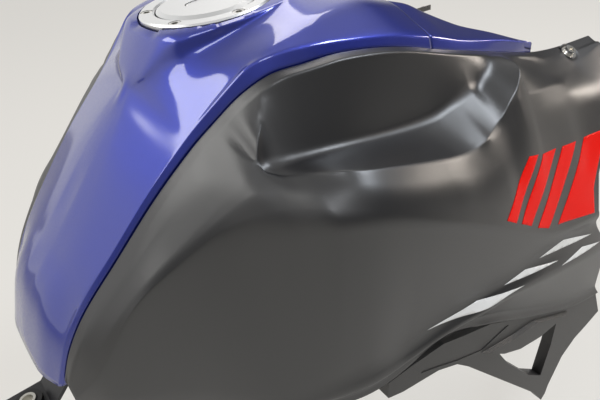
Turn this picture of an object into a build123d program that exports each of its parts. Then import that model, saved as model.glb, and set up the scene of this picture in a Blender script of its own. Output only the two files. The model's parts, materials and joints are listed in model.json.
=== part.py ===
from build123d import *
from math import atan2, cos, degrees, hypot, radians, sin
import os

# Fuel tank of an adventure motorcycle with its painted covers and side panels.
# Millimetres. +X is forward, +Y is the rider's left, +Z is up.
# The origin is the centre of the rear mounting bolt's sleeve.

# Walls, seams and clearances
panel_wall = 3.0
cover_wall = 3.0
arm_wall = 2.5
tank_wall = 2.0
tank_gap = 20.0
seam_gap = 1.6
rear_taper_x = 10.0
return_taper = 0.12
flange_taper = 0.3
joint_gap = 0.8
return_depth = 7.0
flange_width = 10.0
flange_drop = 2.0
front_flange_drop = 5.0
front_drop_x = 490.0
front_drop_length = 20.0
contact_gap = 0.3

# Filler: ring, neck, lid and key cover, all about one slightly tilted axis
filler_x = 225.0
filler_z = 268.0
filler_tilt = 3.3
lid_r = 37.5
lid_gap = 1.0
lid_thick = 5.0
lid_crown = 1.2
lid_edge = 0.8
lid_bevel = 3.5
ring_r = lid_r + 12.5
ring_height = 9.0
ring_chamfer = 1.2
well_wall = 2.5
well_gap = 1.5
well_lip_r = lid_r + 2
well_rim_drop = 1.0
neck_bore_r = 22.0
neck_wall = 2.0
neck_mouth_r = 26.5
neck_mouth_depth = 20.0
neck_flange_r = ring_r - 1
neck_flange_thick = 4.0
neck_depth = 46.0
land_r = ring_r - 1
land_thick = 8.0
ring_screw_circle_r = lid_r + 6.5
ring_screw_count = 6
ring_screw_r = 2.5
ring_screw_head_r = 4.2
ring_screw_head = 4.0
screw_clearance = 0.3
hinge_x = lid_r + 4.5
hinge_drop = 2.5
hinge_pin_r = 1.6
hinge_knuckle_r = 2.9
hinge_half_width = 15.0
notch_margin = 2.5
notch_gap = 1.2
lid_knuckle_half = 7.0
lid_tab_overlap = 3.0
seal_r = 32.0
seal_inner_r = 25.0
seal_thick = 4.0
lock_r = 7.0
lock_x = -8.0
lock_depth = 10.0
key_cover_length = 22.0
key_cover_width = 13.0
key_cover_thick = 2.0
key_cover_x = -5.0
key_cover_gap = 0.7
key_pocket_depth = 2.0
key_knuckle_r = 1.6
key_pin_r = 0.8
key_pin_length = 19.0
key_pin_rise = 0.2
keyhole_length = 7.0
keyhole_width = 1.4
keyhole_depth = 3.0
running_gap = 0.05

# Rear edge of the centre cover, an arc in the front view
tail_half = 64.0
tail_side_z = 59.0
tail_z = 55.0

# Steel tank
weld_flange_width = 6.0
weld_flange_thick = 2.0
weld_flange_rise = 12.0
tunnel_half_width = 34.0
tunnel_lean = 8.0
tunnel_roof_rear = 40.0
tunnel_roof_front = 105.0
tank_floor = 8.0
tank_rear = 64.0
tank_front = 322.0
tank_shoulder_drop = 44.0

# Mounts
mount_bore_r = 4.25
sleeve_r = 6.5
sleeve_length = 14.0
grommet_r = 11.0
grommet_neck_r = 8.5
grommet_length = 11.0
strap_thick = 3.0
strap_width = 34.0
strap_top = 86.0
strap_knee = 46.0
strap_end = 15.0
strap_miter = 1.3
front_lug_reach = 16.0
front_lug_height = 28.0
front_lug_z = 52.0
front_lug_half = 64.0

# Fuel pump plate and its outlet, on the floor of the left lobe
pump_x = 168.0
pump_y = 65.0
pump_r = 25.0
pump_hole_r = 21.0
pump_ring_bore_r = 15.0
pump_plate_thick = 4.0
pump_ring_r = 27.0
pump_ring_thick = 3.0
pump_screw_count = 6
pump_screw_r = 2.0
pump_screw_circle_r = 21.0
pump_body_r = 8.0
pump_body_drop = 16.0
outlet_r = 3.95
outlet_length = 26.0
outlet_wall = 1.2
outlet_rise = 1.0
breather_x = 200.0
breather_r = 4.0
breather_length = 16.0
breather_wall = 1.0

# Lower trim
trim_depth = 12.0
trim_wall = 3.0
trim_rear_x = 226.0
trim_front_x = 507.0
trim_rear_inset = 0.8
trim_front_inset = 3.5
trim_drop = 2.5
trim_step = 6.0
blade_rise = 4.0
blade_taper = 30.0
badge_depth = 0.8
panel_cut_start = 90.0
panel_cut_depth = 140.0

# Panel bolt near the fork
panel_bolt_x = 556.0
panel_bolt_share = 0.45
panel_bolt_r = 3.0
panel_bolt_washer_r = 8.0
panel_bolt_head_r = 5.0
panel_bolt_head = 4.0
panel_bolt_length = 14.0
washer_thick = 1.5
bolt_pad_sink = 0.8
bolt_pad_margin = 3.0
bolt_pad_gap = 1.0

# Stays that carry the side panels on the tank
stay_x = 240.0
stay_z = 140.0
stay_width = 24.0
stay_thick = 3.0
puck_r = 8.0
puck_length = 7.0
puck_rise = 2.0
puck_slack = 5.1
stay_foot = 30.0
stay_head = 12.0

# Feature lines of the right half. Columns: x, half width, height
SEAM = [(18, 58, 38), (27, 60, 59), (40, 62, 88), (57, 66, 114), (88, 72, 147), (122, 76, 180),
        (153, 80, 206), (168, 84, 218), (187, 92, 234), (205, 100.5, 244), (226, 106.5, 246),
        (254, 111, 246), (299, 115, 238), (357, 115, 219), (394, 113, 207), (459, 107, 186),
        (497, 103, 174), (545, 102, 165), (612, 104, 160)]
STRIP = [(18, 55.5, 43), (27, 57.5, 64), (40, 59.5, 92.5), (57, 63, 118), (88, 69, 151), (122, 73, 184.5),
         (153, 76.5, 211), (168, 80.5, 224), (187, 88, 241), (197, 92, 249), (208, 97, 253),
         (226, 102.5, 254.5), (254, 107.5, 252.5), (304, 112, 244), (345, 112, 232), (387, 110, 217),
         (452, 104.5, 198), (506, 101, 178)]
CREASE = [(18, 52, 46), (23, 52.5, 57), (36, 53, 89), (48, 57.5, 106), (63, 62, 126), (86, 66.5, 149.5),
          (116, 70, 179.5), (148, 73.5, 207.5), (172, 78, 227.5), (194, 86, 246), (214, 91, 256),
          (242, 90, 261), (263, 86.5, 263), (305, 80, 262), (345, 76, 250)]
HOLLOW = [(16, 34, 49), (18, 34, 57), (36, 34, 103), (64, 36, 135), (87, 36, 159.5), (113, 28, 188.5),
          (136, 16, 212.5), (150, 12, 226), (157, 24, 232), (166, 36, 238), (181, 46, 245),
          (202, 52, 252), (225, 58, 260), (247, 58, 266), (265, 56, 267.5), (300, 45, 264),
          (345, 40, 252)]
CREST = [(16, 12, 50), (18, 12, 61), (36, 12, 107), (64, 12, 138.5), (113, 10, 191.5), (136, 7, 213.5),
         (150, 6, 228), (156, 20, 238), (170, 32, 257), (178, 40, 262.5), (200, 50, 266),
         (225, 55.5, 267.5), (250, 54, 269), (275, 42, 269.5), (300, 28, 264.5), (345, 22, 252)]
CROWN = [(16, 0, 50), (18, 0, 62), (27, 0, 88), (36, 0, 108), (64, 0, 139), (87, 0, 163), (113, 0, 192),
         (136, 0, 214), (148, 0, 228), (156, 0, 240), (170, 0, 260), (178, 0, 265), (225, 0, 268),
         (275, 0, 270), (300, 0, 265), (345, 0, 252)]
ARM_INNER = [(345, 67, 251), (362, 70.5, 245), (379, 75, 235), (397, 81, 225), (413, 86, 217),
             (444, 93, 205), (482, 99, 189), (503, 101, 181)]
VALLEY = [(30, 69, 60.5), (50, 78, 98), (81, 90, 134), (116, 96, 166), (144, 104, 190), (165, 113, 204),
          (176, 121, 200), (197, 129, 197), (229, 134, 194), (280, 135, 186), (318, 137, 184),
          (361, 138, 191), (385, 139, 188), (430, 133, 187), (470, 135, 164), (516, 133, 147),
          (560, 124, 151), (612, 119, 155)]
RIM = [(30, 71, 57), (50, 83, 90), (81, 97, 131), (116, 106, 159), (144, 116, 181), (165, 124, 195),
       (176, 129, 195), (194, 152, 197), (212, 169, 199), (240, 173, 191), (306, 172, 171),
       (348, 165, 162), (372, 158, 164), (397, 151, 165), (413, 145, 172), (430, 135, 184),
       (460, 148, 164), (504, 152, 140), (560, 153, 130), (612, 153, 124)]
KNEE = [(30, 72, 53), (50, 88, 76), (81, 102, 126), (116, 113, 150), (144, 128, 167), (172, 157, 176),
        (192, 180, 178), (237, 194, 161), (311, 201, 120), (398, 204, 66), (491, 205, 38), (560, 198, 30),
        (612, 190, 30)]
WAIST = [(30, 71, 48), (50, 86, 44), (100, 103, 25), (150, 146, 15), (206, 178, 32), (250, 181, 26),
         (306, 190, 36), (351, 195, 36), (409, 198, 37), (461, 200, 31), (520, 200, 16), (612, 190, 0)]
BAND = [(30, 69, 44), (50, 82, 30), (100, 100, 5), (150, 147, 3), (206, 183, 18), (250, 187, 14),
        (297, 197, 24), (324, 203, 28), (351, 204, 26), (405, 208, 16), (473, 210, 0), (520, 209, -14),
        (612, 204, -40)]
LIP_ROOT = [(30, 66, 41), (50, 77, 22), (100, 97, -1), (150, 142, -1), (206, 179, 12), (289, 180, 13),
            (351, 187, -9), (414, 191, -44), (507, 197, -88), (612, 196, -122)]
LIP = [(30, 65, 37), (50, 75, 15), (100, 96, -10), (150, 141, -9), (206, 180, 4), (289, 183, 4),
       (317, 184, -6), (351, 191, -17), (414, 195, -52), (507, 201, -96), (612, 200, -130)]

panel_stations = [30, 38, 50, 65, 81, 100, 120, 144, 165, 176, 197, 228, 265, 300, 335, 368, 400, 430, 460,
                  495, 535, 575, 612]
cover_front = 342.0
cover_stations = [18, 27, 38, 50, 66, 88, 115, 136, 148, 157, 170, 181, 200, 225, 250, 275, 300, 322,
                  cover_front]
arm_stations = [cover_front + joint_gap, 356, 372, 392, 420, 450, 464]
arm_tip_stations = [464, 484, 503]
tank_stations = [tank_rear, 90, 120, 150, 180, 225, 270, tank_front]

# Tank half width below the covers. Columns: x, half width, lobe bottom
TANK_SIDE = [(64, 46, 20), (90, 60, 12), (120, 76, tank_floor), (150, 88, tank_floor),
             (180, 96, tank_floor), (225, 102, tank_floor), (270, 102, 14), (322, 92, 34)]

# Side view outlines of the lower trim and of the panel's front edge. Columns: x, z
TRIM_TOP_STATIONS = [226, 252, 289, 317, 351, 414, 507]
TRIM_LOWER = [(514, -138), (506, -179), (496, -250), (490, -258), (465, -221), (327, -59), (310, -42),
              (285, -30), (242, -22), (226, -16)]
TRIM_OPENING = [(376, -80), (405, -96), (440, -104), (478, -104), (478, -145), (472, -194), (442, -168),
                (395, -110)]
TRIM_GUARD = [(502, -106), (554, -118), (571, -126), (596, -175), (574, -184), (550, -192), (529, -210),
              (509, -262), (490, -258), (500, -179), (506, -138)]
TRIM_BLADE = [(344, -53), (390, -63), (430, -68), (496, -101), (440, -102), (405, -94), (376, -79)]
TRIM_BADGE = [(262, -15), (281, -5), (317, -14), (383, -43), (345, -50), (310, -37), (285, -25)]
FRONT_EDGE = [(640, 190), (606, 150), (560, 104), (520, 80), (492, 62), (489, 48), (516, -19),
              (556, -114), (560, -160), (640, -160)]


def on_line(line, x):
    """Half width and height where a feature line crosses station x, eased through its points."""
    if x <= line[0][0]:
        return line[0][1:]
    if x >= line[-1][0]:
        return line[-1][1:]
    i = next(k for k in range(len(line) - 1) if line[k + 1][0] >= x)
    span = line[i + 1][0] - line[i][0]
    t = (x - line[i][0]) / span
    values = []
    for c in (1, 2):
        slopes = []
        for k in (i, i + 1):
            before = line[max(k - 1, 0)]
            after = line[min(k + 1, len(line) - 1)]
            slopes.append((after[c] - before[c]) / (after[0] - before[0]))
        p = line[i][c]
        q = line[i + 1][c]
        values.append(p + (q - p) * t * t * (3 - 2 * t)
                      + span * t * (1 - t) * (slopes[0] * (1 - t) - slopes[1] * t))
    return tuple(values)


def walled(points, wall):
    """Close an open section line into a wall of even thickness, on the right of its direction."""
    normals = []
    for (u0, v0), (u1, v1) in zip(points, points[1:]):
        length = hypot(u1 - u0, v1 - v0)
        normals.append(((v1 - v0) / length, -(u1 - u0) / length))
    inner = []
    for i, (u, v) in enumerate(points):
        a = normals[max(i - 1, 0)]
        b = normals[min(i, len(normals) - 1)]
        share = wall / max(1 + a[0] * b[0] + a[1] * b[1], 0.6)
        inner.append((u + (a[0] + b[0]) * share, v + (a[1] + b[1]) * share))
    return points + inner[::-1]


def panel_section(x):
    """Outer line of the right side panel at station x, from its seam down to its lower lip."""
    seam_w, seam_z = on_line(SEAM, x)
    depth = min(return_depth, return_taper * (x - rear_taper_x))
    flange = min(flange_width, flange_taper * (x - rear_taper_x))
    front_share = min(max((x - front_drop_x) / front_drop_length, 0), 1)
    drop = flange_drop + front_share * (front_flange_drop - flange_drop)
    points = [(seam_w + seam_gap / 2, seam_z - depth), (seam_w + seam_gap / 2, seam_z)]
    points.append((seam_w + flange, seam_z - drop))
    for line in (VALLEY, RIM, KNEE, WAIST, BAND, LIP_ROOT, LIP):
        points.append(on_line(line, x))
    return points


def cover_section(x):
    """Outer line of the centre cover at station x, from the right seam over to the left seam."""
    seam_w, seam_z = on_line(SEAM, x)
    half = [(seam_w - seam_gap / 2, seam_z - return_depth), (seam_w - seam_gap / 2, seam_z)]
    half += [on_line(line, x) for line in (STRIP, CREASE, HOLLOW, CREST)]
    crown = on_line(CROWN, x)
    return [(-w, z) for w, z in half] + [crown] + half[::-1]


def arm_section(x):
    """Outer line of the right cover arm at station x, from its inner edge to the seam."""
    seam_w, seam_z = on_line(SEAM, x)
    inner_w, inner_z = on_line(ARM_INNER, x)
    strip_w, strip_z = on_line(STRIP, x)
    return [(inner_w, inner_z - return_depth), (inner_w, inner_z), (strip_w, strip_z),
            (seam_w - seam_gap / 2, seam_z), (seam_w - seam_gap / 2, seam_z - return_depth)]


def tank_section(x, inset):
    """Section of the steel tank at station x, with a tunnel for the frame's backbone."""
    share = (x - tank_rear) / (tank_front - tank_rear)
    roof = tunnel_roof_rear + (tunnel_roof_front - tunnel_roof_rear) * share
    side_w, floor = on_line(TANK_SIDE, x)
    crown_z = on_line(CROWN, x)[1] - tank_gap
    crease_w, crease_z = on_line(CREASE, x)
    seam_z = on_line(SEAM, x)[1]
    shoulder_w = min(crease_w, side_w) - tank_gap / 2
    shoulder_z = crease_z - tank_gap
    half = [(0, crown_z - inset), (shoulder_w - inset, shoulder_z - inset),
            (side_w - inset, seam_z - tank_shoulder_drop - inset), (side_w - inset, floor + inset),
            (tunnel_half_width + inset, floor + inset),
            (tunnel_half_width - tunnel_lean + inset, roof + inset)]
    return half + [(-w, z) for w, z in half[:0:-1]]


# Painted centre cover, with a round well that holds the filler ring
filler = Plane(origin=(filler_x, 0, filler_z),
               x_dir=(cos(radians(filler_tilt)), 0, sin(radians(filler_tilt))),
               z_dir=(-sin(radians(filler_tilt)), 0, cos(radians(filler_tilt))))
well_r = ring_r + well_gap
with BuildPart() as centre_cover:
    for x in cover_stations:
        with BuildSketch(Plane.YZ.offset(x)):
            with BuildLine():
                Polyline(*walled(cover_section(x), cover_wall), close=True)
            make_face()
    loft(ruled=True)
    with BuildSketch(Plane.YZ):
        with BuildLine():
            ThreePointArc((-tail_half, tail_side_z), (0, tail_z), (tail_half, tail_side_z))
            Polyline((tail_half, tail_side_z), (tail_half, 0), (-tail_half, 0), (-tail_half, tail_side_z))
        make_face()
    extrude(amount=tail_half, mode=Mode.SUBTRACT)
    with BuildSketch(filler.offset(-4 * ring_height)):
        Circle(well_r)
    extrude(amount=8 * ring_height, mode=Mode.SUBTRACT)
    with BuildSketch(filler.offset(-ring_height - well_wall)):
        Circle(well_r + well_wall)
        Circle(well_r, mode=Mode.SUBTRACT)
    extrude(amount=ring_height + well_wall - well_rim_drop)
    with BuildSketch(filler.offset(-ring_height - well_wall)):
        Circle(well_r + well_wall)
        Circle(well_lip_r, mode=Mode.SUBTRACT)
    extrude(amount=well_wall)
    with BuildSketch(filler.offset(-ring_height - well_wall)):
        with PolarLocations(ring_screw_circle_r, ring_screw_count, start_angle=30):
            Circle(ring_screw_r + screw_clearance)
    extrude(amount=well_wall, mode=Mode.SUBTRACT)
centre_cover.part.label = "centre_cover"

# Right cover arm, reaching forward beside the steering head, with a solid tip
with BuildPart() as cover_arm_right:
    for x in arm_stations:
        with BuildSketch(Plane.YZ.offset(x)):
            with BuildLine():
                Polyline(*[(-w, z) for w, z in walled(arm_section(x), arm_wall)], close=True)
            make_face()
    loft(ruled=True)
    for x in arm_tip_stations:
        with BuildSketch(Plane.YZ.offset(x)):
            with BuildLine():
                Polyline(*[(-w, z) for w, z in arm_section(x)], close=True)
            make_face()
    loft(ruled=True)
cover_arm_right.part.label = "cover_arm_right"

# Bolt near the fork, in a flat pad on the panel's top facet
def facet(x):
    """The bolt's place on the panel's front facet at station x, and the facet's inner edge there."""
    seam_w, seam_z = on_line(SEAM, x)
    valley_w, valley_z = on_line(VALLEY, x)
    inner = Vector(x, -seam_w, seam_z)
    outer = Vector(x, -valley_w, valley_z)
    return inner + (outer - inner) * panel_bolt_share, inner


facet_middle, facet_inner = facet(panel_bolt_x)
facet_ahead = facet(panel_bolt_x + panel_bolt_washer_r)[0]
bolt_seat = Plane(origin=facet_middle, x_dir=facet_ahead - facet_middle,
                  z_dir=(facet_ahead - facet_middle).cross(facet_inner - facet_middle))
with BuildPart() as panel_bolt:
    with BuildSketch(bolt_seat.offset(-bolt_pad_sink)):
        Circle(panel_bolt_washer_r)
    extrude(amount=washer_thick)
    with BuildSketch(bolt_seat.offset(washer_thick - bolt_pad_sink)):
        Circle(panel_bolt_head_r)
        RegularPolygon(panel_bolt_r, 6, mode=Mode.SUBTRACT)
    extrude(amount=panel_bolt_head)
    with BuildSketch(bolt_seat.offset(-bolt_pad_sink - panel_bolt_length)):
        Circle(panel_bolt_r)
    extrude(amount=panel_bolt_length)
with BuildPart() as panel_bolts:
    add(panel_bolt.part)
    mirror(panel_bolt.part, about=Plane.XZ)
panel_bolts.part.label = "panel_bolts"

# Right side panel with the scoop pressed into its shoulder
with BuildPart() as side_panel_right:
    for x in panel_stations:
        with BuildSketch(Plane.YZ.offset(x)):
            with BuildLine():
                Polyline(*[(-w, z) for w, z in walled(panel_section(x), panel_wall)], close=True)
            make_face()
    loft(ruled=True)
    with BuildSketch(Plane.XZ.offset(panel_cut_start)):
        with BuildLine():
            Polyline(*FRONT_EDGE, close=True)
        make_face()
    extrude(amount=panel_cut_depth, mode=Mode.SUBTRACT)
    with BuildSketch(bolt_seat.offset(-panel_wall - bolt_pad_sink)):
        Circle(panel_bolt_washer_r + bolt_pad_margin)
    extrude(amount=panel_wall)
    with BuildSketch(bolt_seat.offset(-bolt_pad_sink)):
        Circle(panel_bolt_washer_r + bolt_pad_gap)
    extrude(amount=panel_bolt_length, mode=Mode.SUBTRACT)
    with BuildSketch(bolt_seat.offset(-panel_bolt_length)):
        Circle(panel_bolt_r + screw_clearance)
    extrude(amount=panel_bolt_length, mode=Mode.SUBTRACT)
side_panel_right.part.label = "side_panel_right"


with BuildPart() as cover_arm_left:
    mirror(cover_arm_right.part, about=Plane.XZ)
cover_arm_left.part.label = "cover_arm_left"

with BuildPart() as side_panel_left:
    mirror(side_panel_right.part, about=Plane.XZ)
side_panel_left.part.label = "side_panel_left"

# Lower trim: an open moulded triangle that hangs below the panel's lip, with a raised blade over its
# opening, a shallow badge recess behind it and a stepped guard in front
trim_rear_w = on_line(LIP, trim_rear_x)[0] - trim_rear_inset
trim_front_w = on_line(LIP, trim_front_x)[0] - trim_front_inset
trim_slope = degrees(atan2(trim_front_w - trim_rear_w, trim_front_x - trim_rear_x))
trim_face = Plane(origin=(trim_rear_x, -trim_rear_w, 0),
                  x_dir=(cos(radians(trim_slope)), -sin(radians(trim_slope)), 0),
                  z_dir=(-sin(radians(trim_slope)), -cos(radians(trim_slope)), 0))


def on_trim(outline):
    """Points of a side view outline, measured along the trim's sloping face."""
    return [((x - trim_rear_x) / cos(radians(trim_slope)), z) for x, z in outline]


trim_top = [(x, on_line(LIP, x)[1] - trim_drop) for x in TRIM_TOP_STATIONS]
with BuildPart() as lower_trim_right:
    with BuildSketch(trim_face.offset(-trim_depth)) as trim_outline:
        with BuildLine():
            Polyline(*on_trim(trim_top + TRIM_LOWER), close=True)
        make_face()
        with BuildLine():
            Polyline(*on_trim(TRIM_OPENING), close=True)
        make_face(mode=Mode.SUBTRACT)
    extrude(amount=trim_depth)
    with BuildSketch(trim_face.offset(-trim_depth)):
        add(trim_outline.sketch)
        offset(amount=-trim_wall, kind=Kind.INTERSECTION, mode=Mode.REPLACE)
    extrude(amount=trim_depth - trim_wall, mode=Mode.SUBTRACT)
    with BuildSketch(trim_face.offset(-badge_depth)):
        with BuildLine():
            Polyline(*on_trim(TRIM_BADGE), close=True)
        make_face()
    extrude(amount=badge_depth, mode=Mode.SUBTRACT)
    with BuildSketch(trim_face):
        with BuildLine():
            Polyline(*on_trim(TRIM_BLADE), close=True)
        make_face()
    extrude(amount=blade_rise, taper=blade_taper)
    with BuildSketch(trim_face.offset(-trim_depth)):
        with BuildLine():
            Polyline(*on_trim(TRIM_GUARD), close=True)
        make_face()
    extrude(amount=trim_depth - trim_step)
lower_trim_right.part.label = "lower_trim_right"

with BuildPart() as lower_trim_left:
    mirror(lower_trim_right.part, about=Plane.XZ)
lower_trim_left.part.label = "lower_trim_left"

# Steel tank: a hollow pressing with a tunnel below and a flat land for the filler
neck_r = neck_mouth_r + neck_wall
flange_top = -ring_height - well_wall
land_top = flange_top - neck_flange_thick
with BuildPart() as tank_cavity:
    for x in [tank_rear + tank_wall] + tank_stations[1:-1] + [tank_front - tank_wall]:
        with BuildSketch(Plane.YZ.offset(x)):
            with BuildLine():
                Polyline(*tank_section(x, tank_wall), close=True)
            make_face()
    loft(ruled=True)
with BuildPart() as fuel_tank:
    for x in tank_stations:
        with BuildSketch(Plane.YZ.offset(x)):
            with BuildLine():
                Polyline(*tank_section(x, 0), close=True)
            make_face()
    loft(ruled=True)
    for side in (-1, 1):
        for x in tank_stations:
            side_w, floor = on_line(TANK_SIDE, x)
            with BuildSketch(Plane.YZ.offset(x)):
                with Locations((side * side_w, floor + weld_flange_rise)):
                    Rectangle(2 * weld_flange_width, weld_flange_thick)
        loft(ruled=True)
    with BuildSketch(filler.offset(land_top - land_thick)):
        Circle(land_r)
    extrude(amount=land_thick)
    add(tank_cavity.part, mode=Mode.SUBTRACT)
    with BuildSketch(filler.offset(land_top - neck_depth)):
        Circle(neck_r)
    extrude(amount=neck_depth + well_rim_drop, mode=Mode.SUBTRACT)
    with BuildSketch(Plane.XY.offset(tank_floor - tank_wall)):
        with Locations((pump_x, pump_y)):
            Circle(pump_hole_r)
    extrude(amount=3 * tank_wall, mode=Mode.SUBTRACT)
fuel_tank.part.label = "fuel_tank"

# Filler neck: a wide mouth and a narrower bore below, with a flange that the ring's screws clamp
rim_top = -lid_thick - seal_thick - contact_gap
neck_end = land_top - neck_depth
with BuildPart() as filler_neck:
    with BuildSketch(filler.offset(land_top)):
        Circle(neck_flange_r)
        with PolarLocations(ring_screw_circle_r, ring_screw_count, start_angle=30):
            Circle(ring_screw_r, mode=Mode.SUBTRACT)
    extrude(amount=neck_flange_thick)
    with BuildSketch(filler.offset(-neck_mouth_depth - neck_wall)):
        Circle(neck_mouth_r + neck_wall)
    extrude(amount=neck_mouth_depth + neck_wall + rim_top)
    with BuildSketch(filler.offset(neck_end)):
        Circle(neck_bore_r + neck_wall)
    extrude(amount=-neck_end - neck_mouth_depth)
    with BuildSketch(filler.offset(-neck_mouth_depth)):
        Circle(neck_mouth_r)
    extrude(amount=neck_mouth_depth, mode=Mode.SUBTRACT)
    with BuildSketch(filler.offset(neck_end)):
        Circle(neck_bore_r)
    extrude(amount=-neck_end, mode=Mode.SUBTRACT)
filler_neck.part.label = "filler_neck"

# Filler ring with counterbored screws and a notch for the lid's hinge
ring_bore_r = lid_r + lid_gap
notch_floor = -hinge_drop - hinge_knuckle_r - notch_gap
hinge_line = Plane(origin=filler.from_local_coords(Vector(hinge_x, 0, -hinge_drop)),
                   x_dir=filler.x_dir, z_dir=(0, -1, 0))
ear_length = hinge_half_width - lid_knuckle_half - 2 * contact_gap
with BuildPart() as filler_ring:
    with BuildSketch(filler.offset(-ring_height)):
        Circle(ring_r)
        Circle(ring_bore_r, mode=Mode.SUBTRACT)
    extrude(amount=ring_height)
    chamfer(filler_ring.edges().filter_by(GeomType.CIRCLE).group_by(Axis(filler.origin, filler.z_dir))[-1],
            length=ring_chamfer)
    with BuildSketch(filler.offset(notch_floor)):
        with Locations((hinge_x, 0)):
            Rectangle(2 * (hinge_knuckle_r + notch_margin), 2 * hinge_half_width)
    extrude(amount=-notch_floor, mode=Mode.SUBTRACT)
    for side in (-1, 1):
        ear_start = side * (hinge_half_width + lid_knuckle_half + 2 * contact_gap) / 2
        with BuildSketch(hinge_line.offset(ear_start - ear_length / 2)):
            Circle(hinge_knuckle_r)
            with Locations((0, (notch_floor + hinge_drop) / 2)):
                Rectangle(2 * hinge_knuckle_r, -notch_floor - hinge_drop)
            Circle(hinge_pin_r, mode=Mode.SUBTRACT)
        extrude(amount=ear_length)
    with BuildSketch(filler.offset(-ring_height)):
        with PolarLocations(ring_screw_circle_r, ring_screw_count, start_angle=30):
            Circle(ring_screw_r + screw_clearance)
    extrude(amount=ring_height, mode=Mode.SUBTRACT)
    with BuildSketch(filler.offset(-ring_screw_head)):
        with PolarLocations(ring_screw_circle_r, ring_screw_count, start_angle=30):
            Circle(ring_screw_head_r + screw_clearance)
    extrude(amount=ring_screw_head, mode=Mode.SUBTRACT)
filler_ring.part.label = "filler_ring"

with BuildPart() as ring_screws:
    with BuildSketch(filler.offset(-ring_screw_head)):
        with PolarLocations(ring_screw_circle_r, ring_screw_count, start_angle=30):
            Circle(ring_screw_head_r)
            RegularPolygon(ring_screw_r, 6, mode=Mode.SUBTRACT)
    extrude(amount=ring_screw_head - contact_gap)
    with BuildSketch(filler.offset(land_top)):
        with PolarLocations(ring_screw_circle_r, ring_screw_count, start_angle=30):
            Circle(ring_screw_r)
    extrude(amount=-ring_screw_head - land_top)
ring_screws.part.label = "ring_screws"

# Filler lid with a bevelled rim, a pocket for the key cover and a knuckle at its front
key_hinge_x = key_cover_x + key_cover_length / 2 - key_knuckle_r
key_hinge_z = -key_pocket_depth + key_knuckle_r + key_pin_rise
key_line = Plane(origin=filler.from_local_coords(Vector(key_hinge_x, 0, key_hinge_z)),
                 x_dir=filler.x_dir, z_dir=(0, -1, 0))
with BuildPart() as filler_lid:
    with BuildSketch(Plane(origin=filler.origin, x_dir=filler.x_dir, z_dir=(0, -1, 0))):
        with BuildLine():
            Polyline((0, lid_crown), (0, -lid_thick), (lid_r, -lid_thick), (lid_r, -lid_edge),
                     (lid_r - lid_bevel, lid_crown), close=True)
        make_face()
    revolve(axis=Axis(filler.origin, filler.z_dir))
    with BuildSketch(filler.offset(-lid_thick)):
        with Locations(((lid_r - lid_tab_overlap + hinge_x) / 2, 0)):
            Rectangle(hinge_x - lid_r + lid_tab_overlap, 2 * lid_knuckle_half)
    extrude(amount=lid_thick - contact_gap)
    with BuildSketch(hinge_line.offset(-lid_knuckle_half)):
        Circle(hinge_knuckle_r)
    extrude(amount=2 * lid_knuckle_half)
    with BuildSketch(hinge_line.offset(-lid_knuckle_half)):
        Circle(hinge_pin_r + running_gap)
    extrude(amount=2 * lid_knuckle_half, mode=Mode.SUBTRACT)
    with BuildSketch(filler.offset(-key_pocket_depth)):
        with Locations((key_cover_x, 0)):
            SlotOverall(key_cover_length + 2 * key_cover_gap, key_cover_width + 2 * key_cover_gap)
        with Locations((key_hinge_x, 0)):
            Rectangle(2 * (key_knuckle_r + key_cover_gap), key_cover_width + 2 * key_cover_gap)
    extrude(amount=2 * key_pocket_depth, mode=Mode.SUBTRACT)
    with BuildSketch(filler.offset(-lid_thick)):
        with Locations((lock_x, 0)):
            Circle(lock_r)
    extrude(amount=lid_thick, mode=Mode.SUBTRACT)
    with BuildSketch(key_line.offset(-key_pin_length / 2)):
        Circle(key_pin_r)
    extrude(amount=key_pin_length, mode=Mode.SUBTRACT)
filler_lid.part.label = "filler_lid"

with BuildPart() as hinge_pin:
    with BuildSketch(hinge_line.offset(-hinge_half_width)):
        Circle(hinge_pin_r)
    extrude(amount=2 * hinge_half_width)
hinge_pin.part.label = "hinge_pin"

with BuildPart() as lid_seal:
    with BuildSketch(filler.offset(-lid_thick - seal_thick)):
        Circle(seal_r)
        Circle(seal_inner_r, mode=Mode.SUBTRACT)
    extrude(amount=seal_thick)
lid_seal.part.label = "lid_seal"

with BuildPart() as lock_barrel:
    with BuildSketch(filler.offset(-lid_thick - lock_depth)):
        with Locations((lock_x, 0)):
            Circle(lock_r)
    extrude(amount=lock_depth + lid_thick - key_pocket_depth)
    with BuildSketch(filler.offset(-key_pocket_depth)):
        with Locations((lock_x, 0)):
            Rectangle(keyhole_length, keyhole_width)
    extrude(amount=-keyhole_depth, mode=Mode.SUBTRACT)
lock_barrel.part.label = "lock_barrel"

with BuildPart() as key_cover:
    with BuildSketch(filler.offset(-key_pocket_depth + key_cover_gap)):
        with Locations((key_cover_x, 0)):
            SlotOverall(key_cover_length, key_cover_width)
        with Locations((key_hinge_x + key_cover_length / 2, 0)):
            Rectangle(key_cover_length, key_cover_width, mode=Mode.SUBTRACT)
    extrude(amount=key_cover_thick)
    with BuildSketch(key_line.offset(-key_cover_width / 2)):
        Circle(key_knuckle_r)
    extrude(amount=key_cover_width)
    with BuildSketch(key_line.offset(-key_cover_width / 2)):
        Circle(key_pin_r + running_gap)
    extrude(amount=key_cover_width, mode=Mode.SUBTRACT)
key_cover.part.label = "key_cover"

with BuildPart() as key_pin:
    with BuildSketch(key_line.offset(-key_pin_length / 2)):
        Circle(key_pin_r)
    extrude(amount=key_pin_length)
key_pin.part.label = "key_pin"

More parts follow.
